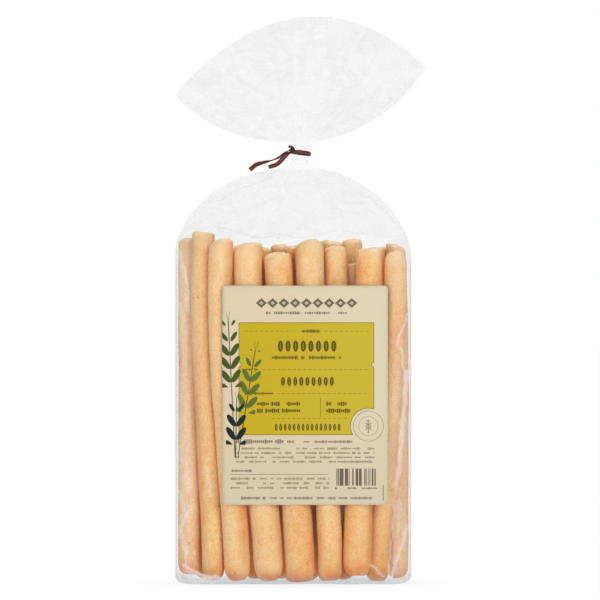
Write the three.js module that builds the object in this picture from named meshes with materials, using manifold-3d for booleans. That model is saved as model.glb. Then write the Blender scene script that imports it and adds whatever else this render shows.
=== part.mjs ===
// A clear block-bottom bag of breadsticks, gathered at the neck by a flat wire tie, with a
// paper label on its front. Units are millimetres, +Z is up and the label faces -Y.
// The origin is the centre of the flat base that the bag stands on.
//
// Three solids: the filled bag out to its film, the label, and the tie.

import * as THREE from "three";
import { mergeVertices } from "three/addons/utils/BufferGeometryUtils.js";
import Module from "manifold-3d";

const { cos, sin, sqrt, PI } = Math;
const { lerp, smoothstep } = THREE.MathUtils;

// ---------------------------------------------------------------- driving dimensions

// Walls of the bag
const bodyWidth = 149;
const bodyDepth = 44;
const cornerRadius = 13; // plan corners, where the film wraps round an outer breadstick
const baseEdgeRadius = 5.5; // where the walls turn under into the flat base
const shoulderHeight = 203; // the walls stand straight up to here

// Flutes: the film bulges over each breadstick of the front and back rows
const rowCount = 8; // breadsticks side by side
const fluteDepth = 1.2; // how far the film sinks between two of them
const rowLean = 12; // the row leans sideways by this much over the height of the walls
const fluteFade = 12; // flutes die out over this length at the ends and the corners

// Dome over the breadsticks, and the gathered neck
const domeHeight = 60;
const neckRadius = 5.7;
const neckOffset = 4.3; // the neck stands this far to the right of the base's centre
const tieHeight = 272.2;

// Fan of loose film above the tie
const fanRootHeight = 279.1;
const fanRootHalfWidth = 7.6;
const fanRootCentre = 6.1;
const fanLeftTip = new THREE.Vector2(-75.1, 308.7);
const fanRightTip = new THREE.Vector2(84.3, 326.3);
const fanRootThickness = 10;
const fanMouthThickness = 7;
const fanWave = 3.5; // the spread fan sways this far forwards and backwards

// Paper label
const labelWidth = 103.7;
const labelHeight = 137.4;
const labelCornerRadius = 2.2;
const labelThickness = 0.3;
const labelCentre = new THREE.Vector2(7.4, 119.2);
const clearance = 0.3; // between the film and what lies on it

// Flat wire tie
const tieWidth = 2.6;
const tieThickness = 0.7;
const tieTilt = (8 * Math.PI) / 180; // the band dips to the right
const knotRadius = 2.1;

// Fineness of the faceted bag
const ringPoints = 96;

const halfWidth = bodyWidth / 2;
const halfDepth = bodyDepth / 2;

// ---------------------------------------------------------------- materials

const filmMaterial = new THREE.MeshStandardMaterial({
  color: 0xf1d9b4,
  roughness: 0.2,
  metalness: 0,
  transparent: true,
  opacity: 0.6,
});
const paperMaterial = new THREE.MeshStandardMaterial({
  color: 0xe6dabf,
  roughness: 0.6,
  metalness: 0,
});
const tieMaterial = new THREE.MeshStandardMaterial({
  color: 0x5a2a1f,
  roughness: 0.45,
  metalness: 0,
});

// ---------------------------------------------------------------- cross-sections of the bag

// The plan outline of the walls: a rounded rectangle from the middle of the right side,
// counter-clockwise, as evenly spaced points.
function wallOutline() {
  const x = halfWidth - cornerRadius;
  const y = halfDepth - cornerRadius;
  const path = new THREE.Path();
  path.moveTo(halfWidth, 0);
  path.lineTo(halfWidth, y);
  path.absarc(x, y, cornerRadius, 0, PI / 2);
  path.absarc(-x, y, cornerRadius, PI / 2, PI);
  path.absarc(-x, -y, cornerRadius, PI, 1.5 * PI);
  path.absarc(x, -y, cornerRadius, 1.5 * PI, 2 * PI);
  path.lineTo(halfWidth, 0);
  return path.getSpacedPoints(ringPoints).slice(0, ringPoints);
}

const outline = wallOutline();

// How far the film sinks between the breadsticks at a point of the front or back wall.
function fluteAt(x, z) {
  const pitch = bodyWidth / rowCount;
  const lean = rowLean * (0.5 - z / shoulderHeight);
  const flatEdge = halfWidth - cornerRadius;
  const sideways = 1 - smoothstep(Math.abs(x), flatEdge - fluteFade, flatEdge);
  const upwards =
    smoothstep(z, 0, 2 * fluteFade) *
    (1 - smoothstep(z, shoulderHeight - fluteFade, shoulderHeight + fluteFade));
  return fluteDepth * sin((PI * (x - lean)) / pitch) ** 2 * sideways * upwards;
}

// One ring round the bag. roundness 0 follows the wall outline and 1 is an ellipse.
function section({ z, halfWide, halfDeep, roundness = 0, centre = 0 }) {
  return outline.map((corner, i) => {
    const angle = (2 * PI * i) / ringPoints;
    const x = lerp((corner.x / halfWidth) * halfWide, cos(angle) * halfWide, roundness);
    const y = lerp((corner.y / halfDepth) * halfDeep, sin(angle) * halfDeep, roundness);
    const sunk = Math.sign(y) * fluteAt(x, z);
    return new THREE.Vector3(centre + x, y - sunk, z);
  });
}

function baseRings() {
  const steps = 4;
  return Array.from({ length: steps }, (_, i) => {
    const turn = (i / steps) * (PI / 2);
    const inset = baseEdgeRadius * (1 - sin(turn));
    return section({
      z: baseEdgeRadius * (1 - cos(turn)),
      halfWide: halfWidth - inset,
      halfDeep: halfDepth - inset,
    });
  });
}

function wallRings() {
  const steps = 9;
  return Array.from({ length: steps }, (_, i) =>
    section({
      z: lerp(baseEdgeRadius, shoulderHeight, i / (steps - 1)),
      halfWide: halfWidth,
      halfDeep: halfDepth,
    })
  );
}

// The dome's front view is a quarter ellipse on each side, which ends at the neck.
function domeRings() {
  const steps = 9;
  const last = Math.acos(neckRadius / halfWidth);
  return Array.from({ length: steps }, (_, i) => {
    const turn = ((i + 1) / steps) * last;
    const closed = smoothstep(turn, 0, last);
    return section({
      z: shoulderHeight + domeHeight * sin(turn),
      halfWide: halfWidth * cos(turn),
      halfDeep: neckRadius + (halfDepth - neckRadius) * cos(turn) ** 0.8,
      roundness: closed,
      centre: neckOffset * closed,
    });
  });
}

function neckRings() {
  const neck = { halfWide: neckRadius, halfDeep: neckRadius, roundness: 1, centre: neckOffset };
  return [-tieWidth, tieWidth].map((above) => section({ ...neck, z: tieHeight + above }));
}

// ---------------------------------------------------------------- the fan

// The fan in front view is a patch between four curves: its root across the neck, its two
// lower edges out to the tips, and the bag's mouth over the top.
const rootLeft = new THREE.Vector2(fanRootCentre - fanRootHalfWidth, fanRootHeight);
const rootRight = new THREE.Vector2(fanRootCentre + fanRootHalfWidth, fanRootHeight);
const fanRoot = new THREE.LineCurve(rootLeft, rootRight);
const fanLeftEdge = new THREE.CubicBezierCurve(
  rootLeft,
  new THREE.Vector2(-27.2, fanRootHeight),
  new THREE.Vector2(-51.2, 284.1),
  fanLeftTip
);
const fanRightEdge = new THREE.CubicBezierCurve(
  rootRight,
  new THREE.Vector2(37, 282.2),
  new THREE.Vector2(66, 297.4),
  fanRightTip
);
const fanMouth = new THREE.CubicBezierCurve(
  fanLeftTip,
  new THREE.Vector2(-17.8, 376.6),
  new THREE.Vector2(42.7, 366.8),
  fanRightTip
);

// up runs from the root (0) to the mouth (1), across from the left edge (0) to the right (1).
function fanPoint(up, across) {
  const point = new THREE.Vector2();
  point.addScaledVector(fanRoot.getPoint(across), 1 - up);
  point.addScaledVector(fanMouth.getPoint(across), up);
  point.addScaledVector(fanLeftEdge.getPoint(up), 1 - across);
  point.addScaledVector(fanRightEdge.getPoint(up), across);
  point.addScaledVector(rootLeft, -(1 - up) * (1 - across));
  point.addScaledVector(rootRight, -(1 - up) * across);
  point.addScaledVector(fanLeftTip, -up * (1 - across));
  point.addScaledVector(fanRightTip, -up * across);
  return point;
}

function fanRings() {
  return [0, 0.06, 0.14, 0.25, 0.38, 0.52, 0.66, 0.8, 0.92, 1].map((up) =>
    outline.map((_, i) => {
      const angle = (2 * PI * i) / ringPoints;
      const across = (1 + cos(angle)) / 2;
      const { x, y: z } = fanPoint(up, across);
      const halfThick = lerp(fanRootThickness, fanMouthThickness, sqrt(up)) / 2;
      const sway = fanWave * up * sin(2.5 * PI * across);
      return new THREE.Vector3(x, sway + halfThick * sin(angle), z);
    })
  );
}

// ---------------------------------------------------------------- the bag's closed surface

// Joins rings of equal length, from the base to the mouth, and closes both ends: the base
// from its centre, and the narrow mouth straight across from its front edge to its back.
function loft(rings) {
  const positions = rings.flat().flatMap((p) => p.toArray());
  const centreIndex = positions.length / 3;
  positions.push(0, 0, rings[0][0].z);
  const indices = [];
  for (let ring = 0; ring < rings.length - 1; ring++) {
    for (let i = 0; i < ringPoints; i++) {
      const next = (i + 1) % ringPoints;
      const low = ring * ringPoints;
      const high = low + ringPoints;
      indices.push(low + i, low + next, high + next, low + i, high + next, high + i);
    }
  }
  for (let i = 0; i < ringPoints; i++) {
    indices.push(centreIndex, (i + 1) % ringPoints, i);
  }
  const mouth = (rings.length - 1) * ringPoints;
  const tip = ringPoints / 2;
  indices.push(mouth, mouth + 1, mouth + ringPoints - 1);
  for (let i = 1; i < tip - 1; i++) {
    const [backNear, backFar] = [mouth + i, mouth + i + 1];
    const [frontNear, frontFar] = [mouth + ringPoints - i, mouth + ringPoints - i - 1];
    indices.push(backNear, backFar, frontFar, backNear, frontFar, frontNear);
  }
  indices.push(mouth + tip - 1, mouth + tip, mouth + tip + 1);
  return new THREE.BufferGeometry()
    .setAttribute("position", new THREE.Float32BufferAttribute(positions, 3))
    .setIndex(indices);
}

function makeBag() {
  const rings = [...baseRings(), ...wallRings(), ...domeRings(), ...neckRings(), ...fanRings()];
  const geometry = loft(rings);
  geometry.computeVertexNormals();
  const mesh = new THREE.Mesh(geometry, filmMaterial);
  mesh.name = "bag";
  return mesh;
}

// ---------------------------------------------------------------- the label

function makeLabel() {
  const [w, h, r] = [labelWidth / 2, labelHeight / 2, labelCornerRadius];
  const shape = new THREE.Shape();
  shape.absarc(w - r, h - r, r, 0, PI / 2);
  shape.absarc(-w + r, h - r, r, PI / 2, PI);
  shape.absarc(-w + r, -h + r, r, PI, 1.5 * PI);
  shape.absarc(w - r, -h + r, r, 1.5 * PI, 2 * PI);
  const geometry = new THREE.ExtrudeGeometry(shape, {
    depth: labelThickness,
    bevelEnabled: false,
    curveSegments: 5,
  });
  const mesh = new THREE.Mesh(geometry, paperMaterial);
  mesh.name = "label";
  mesh.rotation.x = PI / 2;
  mesh.position.set(labelCentre.x, -halfDepth - clearance, labelCentre.y);
  return mesh;
}

// ---------------------------------------------------------------- the tie

const wasm = await Module();
wasm.setup();

function toSolid(geometry) {
  const bare = geometry.clone();
  bare.deleteAttribute("normal");
  bare.deleteAttribute("uv");
  const merged = mergeVertices(bare, 1e-4);
  return new wasm.Manifold(
    new wasm.Mesh({
      numProp: 3,
      vertProperties: merged.attributes.position.array,
      triVerts: new Uint32Array(merged.index.array),
    })
  );
}

function toGeometry(solid) {
  const mesh = solid.getMesh();
  return new THREE.BufferGeometry()
    .setAttribute("position", new THREE.BufferAttribute(mesh.vertProperties, 3))
    .setIndex(new THREE.BufferAttribute(mesh.triVerts, 1));
}

// The band round the neck.
function tieBand() {
  const inner = neckRadius + 2 * clearance;
  const outer = inner + tieThickness;
  const h = tieWidth / 2;
  const profile = [
    [inner, -h],
    [outer, -h],
    [outer, h],
    [inner, h],
    [inner, -h],
  ].map(([x, y]) => new THREE.Vector2(x, y));
  return new THREE.LatheGeometry(profile, 32)
    .rotateX(PI / 2)
    .rotateY(tieTilt)
    .translate(neckOffset, 0, tieHeight);
}

// One loose end, a flat strip along a smooth curve of points [x, y, z] from the knot.
function tieTail(points) {
  const [w, t] = [tieWidth / 2, tieThickness / 2];
  const strip = new THREE.Shape([
    new THREE.Vector2(-t, -w),
    new THREE.Vector2(t, -w),
    new THREE.Vector2(t, w),
    new THREE.Vector2(-t, w),
  ]);
  const path = new THREE.CatmullRomCurve3(points.map((p) => new THREE.Vector3(...p)));
  return new THREE.ExtrudeGeometry(strip, { steps: 14, bevelEnabled: false, extrudePath: path });
}

function makeTie() {
  const knot = new THREE.SphereGeometry(knotRadius, 14, 10).scale(1, 1, 1.15);
  knot.translate(-1.2, -6.3, tieHeight + 0.9);
  const longTail = tieTail([
    [-1.4, -6.7, 273.1],
    [-6.5, -8.4, 271.3],
    [-16.5, -9.5, 266.8],
    [-24.6, -9.5, 264.6],
    [-27.2, -9, 260.8],
  ]);
  const shortTail = tieTail([
    [-1.4, -6.9, 272.7],
    [-5.2, -9.2, 270],
    [-8.6, -10.5, 266],
    [-15.3, -11, 263],
  ]);
  const solid = [knot, longTail, shortTail]
    .map(toSolid)
    .reduce((joined, piece) => joined.add(piece), toSolid(tieBand()));
  const mesh = new THREE.Mesh(toGeometry(solid), tieMaterial);
  mesh.name = "tie";
  return mesh;
}

// ---------------------------------------------------------------- the whole

const breadstickBag = new THREE.Group();
breadstickBag.add(makeBag(), makeLabel(), makeTie());

export default breadstickBag;
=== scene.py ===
"""A clear block-bottom bag of breadsticks, tied at the neck, with a paper label.

Lengths in this file are in millimetres until a finished piece is brought to metres. +Z is
up, the label faces -Y, and the origin is the centre of the base that the bag stands on.
"""

import random
from collections import namedtuple
from math import acos, atan2, copysign, cos, exp, hypot, pi, sin

import bmesh
import bpy
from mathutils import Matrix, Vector, noise


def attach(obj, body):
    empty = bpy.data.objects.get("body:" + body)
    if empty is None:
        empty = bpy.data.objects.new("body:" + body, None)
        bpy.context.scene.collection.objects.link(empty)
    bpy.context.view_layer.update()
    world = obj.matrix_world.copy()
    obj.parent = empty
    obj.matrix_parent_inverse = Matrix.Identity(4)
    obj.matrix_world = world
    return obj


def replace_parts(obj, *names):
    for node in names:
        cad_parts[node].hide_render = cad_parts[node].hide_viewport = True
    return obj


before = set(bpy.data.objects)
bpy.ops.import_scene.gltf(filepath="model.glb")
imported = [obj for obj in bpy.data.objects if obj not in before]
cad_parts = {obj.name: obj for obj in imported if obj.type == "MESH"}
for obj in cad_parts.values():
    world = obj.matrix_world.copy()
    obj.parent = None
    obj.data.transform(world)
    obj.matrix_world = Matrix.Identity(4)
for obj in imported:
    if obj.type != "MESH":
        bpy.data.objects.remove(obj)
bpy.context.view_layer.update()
bpy.ops.object.select_all(action="DESELECT")

MM = 0.001
TAU = 2 * pi


# ---- small sums


def lerp(a, b, t):
    return a + (b - a) * t


def ease(value, low, high):
    """0 below low, 1 above high, and a smooth climb between."""
    t = min(1.0, max(0.0, (value - low) / (high - low)))
    return t * t * (3 - 2 * t)


def shade(red, green, blue):
    """A colour picked on a screen, 0 to 255, as the linear colour that a shader takes."""
    linear = [((c / 255 + 0.055) / 1.055) ** 2.4 for c in (red, green, blue)]
    return (*linear, 1.0)


def from_segment(x, z, start, end):
    """How far a point of the front view is from a straight segment."""
    run_x, run_z = end[0] - start[0], end[1] - start[1]
    along = ((x - start[0]) * run_x + (z - start[1]) * run_z) / (run_x**2 + run_z**2)
    along = min(1.0, max(0.0, along))
    return hypot(x - start[0] - along * run_x, z - start[1] - along * run_z)


# ---- camera, lights and world

SCENE = bpy.context.scene
PICTURE_MIDDLE = (4.25, -10, 178.9)
PICTURE_WIDTH = 378  # of what shows at that depth
CAMERA_DISTANCE = 2200  # in front of that point
SENSOR = 36


def set_camera():
    x, y, z = PICTURE_MIDDLE
    bpy.ops.object.camera_add(location=(x * MM, (y - CAMERA_DISTANCE) * MM, z * MM))
    camera = bpy.context.object
    camera.name = "camera"
    camera.rotation_euler = (pi / 2, 0, 0)
    camera.data.sensor_width = SENSOR
    camera.data.lens = SENSOR * CAMERA_DISTANCE / PICTURE_WIDTH
    camera.data.clip_end = 50
    SCENE.camera = camera


def add_softbox(name, place, target, size, power):
    """An area light, placed in metres, that faces its target."""
    bpy.ops.object.light_add(type="AREA", location=place)
    light = bpy.context.object
    light.name = name
    light.data.shape = "RECTANGLE"
    light.data.size, light.data.size_y = size
    light.data.energy = power
    aim = Vector(target) - Vector(place)
    light.rotation_euler = aim.to_track_quat("-Z", "Y").to_euler()


def set_lights():
    add_softbox("key_softbox", (0.9, -1.8, 0.9), (0, 0, 0.14), (1.2, 1.3), 18.5)
    add_softbox("fill_softbox", (-1.3, -1.7, 0.5), (0, 0, 0.14), (1.2, 1.4), 10.5)
    add_softbox("top_softbox", (0.1, 0.1, 1.7), (0, 0, 0.2), (1.1, 1.1), 13)


def set_world():
    """White behind the bag; greyer as a light, so that the softboxes shape it."""
    world = bpy.data.worlds.new("studio")
    SCENE.world = world
    sky = Nodes(world)
    sky.nodes.clear()
    seen = sky.node("Background", {"Color": (1, 1, 1, 1)})
    strength = sky.node("LightPath", output="Is Glossy Ray") * 0.5 + 0.25
    lighting = sky.node("Background", {"Color": (0.98, 0.99, 1, 1), "Strength": strength})
    to_camera = sky.node("LightPath", output="Is Camera Ray")
    mix = sky.node("MixShader", {"Fac": to_camera, 1: lighting, 2: seen})
    sky.feed(sky.nodes.new("ShaderNodeOutputWorld"), {"Surface": mix})


# ---- finishes


def math_sign(operation, swapped=False):
    """What a sign of arithmetic does to a Value: it adds a Math node."""

    def apply_sign(value, other):
        pair = (other, value) if swapped else (value, other)
        return value.owner.math(operation, *pair)

    return apply_sign


class Value:
    """A node's output, such as a number that varies over a surface."""

    def __init__(self, owner, socket):
        self.owner = owner
        self.socket = socket

    def __abs__(self):
        return self.owner.math("ABSOLUTE", self)

    __add__ = __radd__ = math_sign("ADD")
    __mul__ = __rmul__ = math_sign("MULTIPLY")
    __sub__ = math_sign("SUBTRACT")
    __rsub__ = math_sign("SUBTRACT", swapped=True)
    __truediv__ = math_sign("DIVIDE")
    __pow__ = math_sign("POWER")


class Nodes:
    """The nodes of a material or of the world."""

    def __init__(self, block):
        block.use_nodes = True
        self.nodes = block.node_tree.nodes
        self.links = block.node_tree.links

    def node(self, kind, inputs=None, output=0, **settings):
        """Adds a node, makes its settings, then feeds its sockets with values or links."""
        node = self.nodes.new("ShaderNode" + kind)
        for name, value in settings.items():
            setattr(node, name, value)
        self.feed(node, inputs or {})
        return Value(self, node.outputs[output])

    def feed(self, node, inputs):
        for name, value in inputs.items():
            socket = node.inputs[name]
            if isinstance(value, Value):
                self.links.new(value.socket, socket)
            else:
                socket.default_value = value

    def math(self, operation, *values, clamp=False):
        inputs = dict(enumerate(values))
        return self.node("Math", inputs, operation=operation, use_clamp=clamp)


class Finish(Nodes):
    """A material, and the nodes that paint it."""

    def __init__(self, name):
        self.material = bpy.data.materials.new(name)
        super().__init__(self.material)

    def surface(self, **inputs):
        """Sets the Principled shader's sockets, named with _ for a space."""
        shader = self.nodes["Principled BSDF"]
        self.feed(shader, {name.replace("_", " "): value for name, value in inputs.items()})

    def vector(self, operation, *values, output=0, **named):
        inputs = {**dict(enumerate(values)), **named}
        return self.node("VectorMath", inputs, output, operation=operation)

    def least(self, first, *others):
        for other in others:
            first = self.math("MINIMUM", first, other)
        return first

    def most(self, first, *others):
        for other in others:
            first = self.math("MAXIMUM", first, other)
        return first

    def climb(self, value, low, high):
        """0 where the value is below low and 1 above high, smooth between."""
        inputs = {"Value": value, "From Min": low, "From Max": high}
        return self.node("MapRange", inputs, interpolation_type="SMOOTHSTEP")

    def between(self, value, low, full_low, full_high, high):
        """1 between the middle two bounds and 0 outside the outer two."""
        return self.climb(value, low, full_low) * (1 - self.climb(value, full_high, high))

    def colour(self, factor, first, second):
        """first where the factor is 0, second where it is 1."""
        inputs = {0: factor, 6: first, 7: second}
        return self.node("Mix", inputs, output=2, data_type="RGBA", clamp_factor=True)

    def ramp(self, value, *stops):
        """A colour for the value, blended between stops, each a place from 0 to 1 and its colour."""
        made = self.node("ValToRGB", {"Fac": value})
        elements = made.socket.node.color_ramp.elements
        while len(elements) < len(stops):
            elements.new(0.5)
        for element, (position, colour) in zip(elements, stops):
            element.position = position
            element.color = colour
        return made

    def place(self, scale=(1, 1, 1)):
        """Object coordinates in millimetres, scaled for a pattern."""
        where = self.node("TexCoord", output="Object")
        return self.vector("MULTIPLY", where, [s / MM for s in scale])

    def axis(self, where, name):
        return self.node("SeparateXYZ", {0: where}, output=name)

    def cloud(self, where, detail=2.0, rough=0.5, distort=0.0):
        """Noise from 0 to 1 with a blot to each unit of where."""
        inputs = {"Vector": where, "Scale": 1.0, "Detail": detail, "Roughness": rough}
        return self.node("TexNoise", {**inputs, "Distortion": distort})

    def grain(self, size, detail=2.0, rough=0.5, stretch=(1, 1, 1)):
        """Noise from 0 to 1 whose blots are about size millimetres across."""
        return self.cloud(self.place([s / size for s in stretch]), detail, rough)

    def attribute(self, name):
        return self.node("Attribute", output="Fac", attribute_name=name)

    def relief(self, height, depth, strength=1.0):
        """A normal for a relief this many millimetres deep."""
        inputs = {"Height": height, "Distance": depth * MM, "Strength": strength}
        return self.node("Bump", inputs)


def make_crust():
    """Matt, fine-pored golden crust, browner at the ends and pale where the dough was cut; with
    painted shade down the flanks where sticks meet, and painted light that makes each top paler.
    """
    crust = Finish("golden_crust")
    patches = crust.grain(20, detail=2, stretch=(1, 1, 0.45))
    mottle = crust.grain(5.0, detail=2, rough=0.5, stretch=(1, 1, 0.7))
    pores = crust.grain(1.3, detail=3, rough=0.75)
    specks = crust.grain(2.1, detail=1)
    tone = crust.attribute("tone")
    toast_and_flank_shade = crust.attribute("toast_and_flank_shade")
    cut = crust.attribute("cut")

    brown = 0.40 + (patches - 0.5) * 1.1 + (mottle - 0.5) * 0.4 + (pores - 0.5) * 1.6
    # Each stick's own tone; near the top it is made paler as painted light.
    brown = brown + (tone - 0.5) * 1.1
    baked = crust.ramp(
        brown,
        (0.0, shade(251, 215, 164)),
        (0.35, shade(247, 198, 138)),
        (0.7, shade(242, 177, 105)),
        (1.0, shade(231, 151, 79)),
    )
    # Browner where the ends are toasted, and down the flanks as painted shade where the sticks meet.
    browned_and_flank_shaded = toast_and_flank_shade * (0.7 + 0.6 * crust.climb(mottle + patches, 0.7, 1.3))
    baked = crust.colour(browned_and_flank_shaded * 0.6, baked, shade(220, 130, 56))
    pits = crust.climb(specks, 0.7, 0.77) * crust.climb(mottle, 0.5, 0.62)
    baked = crust.colour(pits * 0.4, baked, shade(186, 112, 54))
    crumb = cut * crust.climb(pores + mottle, 0.7, 1.0)
    baked = crust.colour(crumb * 0.85, baked, shade(255, 230, 186))

    height = mottle * 0.4 + pores * 1.1 - pits * 0.6
    crust.surface(
        Base_Color=baked,
        Roughness=0.76 + (pores - 0.5) * 0.2,
        Specular_IOR_Level=0.18,
        Subsurface_Weight=0.18,
        Subsurface_Radius=(1.0, 0.45, 0.2),
        Subsurface_Scale=2.0 * MM,
        Normal=crust.relief(height, 0.65, 1.0),
    )
    return crust.material


class Film(Finish):
    """A finish with creases drawn on it as lines through points in x and z."""

    def __init__(self, name):
        super().__init__(name)
        sway = self.node("TexNoise", {"Vector": self.place((0.12,) * 3), "Scale": 1}, output=1)
        sway = self.vector("SUBTRACT", sway, (0.5, 0.5, 0.5))
        swayed = self.vector("ADD", self.place(), self.vector("SCALE", sway, Scale=5.0))
        self.front_view = self.vector("MULTIPLY", swayed, (1, 0, 1))

    def along(self, wide, tall):
        """The film's own map, around and up it, with this many blots each way."""
        where = self.node("TexCoord", output="UV")
        return self.vector("MULTIPLY", where, (wide, tall, 1))

    def line(self, points, width):
        """1 along a line, fading to 0 at half its width."""
        away = []
        for (x0, z0), (x1, z1) in zip(points, points[1:]):
            run = Vector((x1 - x0, 0, z1 - z0))
            start = self.vector("SUBTRACT", self.front_view, (x0, 0, z0))
            share = self.vector("DOT_PRODUCT", start, run / run.length_squared, output="Value")
            nearest = self.vector("SCALE", run, Scale=self.math("ADD", share, 0, clamp=True))
            away.append(self.vector("DISTANCE", start, nearest, output="Value"))
        return 1 - self.climb(self.least(*away), width * 0.08, width * 0.5)

    def drawn(self, creases):
        """How strong the strongest of the creases is."""
        return self.most(*[self.line(points, wide) * strong for points, wide, strong in creases])


# Creases on the front of the bag, as points in x and z, their width, and how strong they are
# These creases push the film out a little and are painted white along their length as painted
# highlights.
HIGHLIGHTED_CREASES = [
    ([(-71.8, 209), (-69.4, 197), (-66.4, 184), (-66, 172)], 4, 0.8),
    ([(71.6, 134), (69.8, 116), (68.2, 100.6), (66.9, 85), (64.6, 62)], 5, 1),
    ([(65.6, 68), (63.5, 53.6), (61.7, 28.5), (60, 6.6)], 2.4, 0.7),
    ([(71.2, 37), (66.5, 19), (61.4, 5)], 4, 0.8),
    ([(65.8, 52), (64, 8)], 7, 0.35),
    ([(72.3, 170), (65.6, 152.5), (69.1, 143.6), (70.4, 132)], 2.6, 0.7),
    ([(-70.8, 176), (-68.8, 150), (-66.6, 88.3)], 7, 0.35),
    ([(-71.7, 132), (-69.5, 84), (-66.5, 60)], 7, 0.35),
    ([(-70.8, 58), (-67.5, 46), (-71, 34), (-67, 20)], 5, 0.6),
    ([(-72.6, 41.8), (-63.2, 48.5)], 2.2, 0.6),
    ([(-70.2, 27), (-66.6, 15.3), (-67.8, 8.7)], 1.8, 0.7),
    ([(-68.2, 12.3), (-56.9, 6.4), (-45.6, 4.2)], 3.6, 1.2),
    ([(-66.2, 8.4), (-56.9, 3.6), (-48.6, 2.6)], 2.4, 1),
    ([(-54.6, 74), (-51.6, 58)], 5, 0.3),
    ([(49, 13), (57, 6.5)], 3, 0.6),
]
# These are only grey lines of painted shade along folds of the dome and walls; they do not shape the
# film.
SHADED_CREASES = [
    ([(-49.3, 225.5), (-38.4, 222.4), (-26, 219.2), (-10, 217.6)], 1.8, 1),
    ([(-17, 220.4), (-3.4, 219.3), (9.5, 216.2)], 1.7, 0.8),
    ([(14, 219), (26, 222.5), (46, 221)], 2.6, 0.6),
    ([(-66.5, 219.5), (-52, 224)], 2, 0.6),
    ([(32.6, 251.4), (48.4, 242.6), (58, 234.5), (64.1, 228)], 2.4, 0.8),
    ([(-54, 238.5), (-30.4, 249.8), (-14.6, 256)], 2.4, 0.6),
    ([(-26, 236), (-12, 243), (-3, 256)], 2.2, 0.5),
    ([(12, 258), (18, 244), (17, 234)], 2.2, 0.4),
    ([(68.4, 64), (67.4, 30), (66.4, 8)], 1.6, 2.5),
]


def make_film():
    """Clear film: faintly grey all over, and white where it is hazy; with painted highlights and
    painted shade along its creases and wrinkles, and a painted sheen and a darker painted rim on its
    sides.
    """
    film = Film("clear_film")
    tint = film.attribute("tint")
    haze_and_sheen = film.attribute("haze_and_sheen")
    place = film.place()
    side, high = abs(film.axis(place, "X")), film.axis(place, "Z")
    wall = 1 - film.climb(high, 200, 212)
    lifted = film.climb(high, 5, 11)
    loose = 1 - wall * film.climb(side, 64, 70) - film.least(wall, 1 - lifted)
    dome = film.between(high, 206, 218, 262, 270)
    upright = film.cloud(film.along(46, 4.5), detail=2, distort=0.4) - 0.5
    thin = film.cloud(film.along(150, 9), detail=2, distort=0.5) - 0.5
    crumple = film.cloud(film.place((0.055, 0.055, 0.075)), detail=3, rough=0.6, distort=1.6) - 0.5
    # Thin light lines as painted glints and thin dark lines as painted shade, along the crumples.
    glint_lines = 1 - film.climb(abs(crumple), 0.0, 0.03)
    shade_lines = 1 - film.climb(abs(crumple - 0.09), 0.0, 0.025)
    clouds = film.grain(24, detail=2) - 0.5
    front = film.climb(film.axis(place, "Y"), 0, -8)

    # Painted highlights along the highlighted creases, and painted shade along the shaded ones.
    white, grey = film.drawn(HIGHLIGHTED_CREASES), film.drawn(SHADED_CREASES)
    white = white * front * (0.85 + thin * 0.5 + clouds * 0.8)

    streaks = upright * (0.75 - 0.55 * dome) + thin * (0.35 - 0.25 * dome)
    # Painted shading of the wrinkles: the tint is lighter and darker along streaks, clouds and crumple
    # lines.
    painted_wrinkle_shading = streaks + clouds * 0.6 + crumple * 0.9 - glint_lines * 0.35 + shade_lines * 0.28
    tinted = tint * film.math("MAXIMUM", 1 + loose * painted_wrinkle_shading, 0.1) + grey * front * 0.04
    hazy = 0.75 + (upright * 0.7 + thin * 0.4) * lifted
    veil = haze_and_sheen * film.math("ADD", hazy, 0, clamp=True) + white * 0.28
    veil = veil + tint * glint_lines * loose * 0.05
    opacity = tinted + veil
    grey_film = film.colour(lifted, shade(138, 156, 170), shade(150, 152, 153))
    film.surface(
        Base_Color=film.colour(veil / opacity, grey_film, shade(249, 249, 248)),
        Roughness=0.28,
        Specular_IOR_Level=0.4,
        Alpha=opacity,
        Normal=film.relief((streaks + crumple + glint_lines * 0.4) * loose, 0.6, 0.8),
    )
    return film.material


def make_tie_strip():
    """Dark brown strip, paler along its raised wire as a painted highlight."""
    strip = Finish("tie_strip")
    wear = strip.grain(1.2, detail=3, rough=0.6)
    middle = strip.attribute("middle")
    # Painted highlight: paler along the wire, broken up by the grain.
    wire_highlight = middle * 0.75 + (wear - 0.5) * 0.6
    strip.surface(
        Base_Color=strip.colour(wire_highlight, shade(58, 14, 2), shade(122, 50, 26)),
        Roughness=0.4 + (wear - 0.5) * 0.3,
        Specular_IOR_Level=0.3,
        Normal=strip.relief(wear, 0.06, 0.8),
    )
    return strip.material


# ---- the printed label

# Edges of the label and of what is printed on it: x to the right and z up, from the base's
# centre.
LABEL_EDGES = (-44.5, 59.3, 50.5, 187.9)  # left, right, bottom and top
PANEL_EDGES = (-34.2, 50.7, 94.3, 164.9)
NOTCH_Z = 138.4
SEAL = (47.1, 99.9)
SEAL_RADIUS = 11.0


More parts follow.
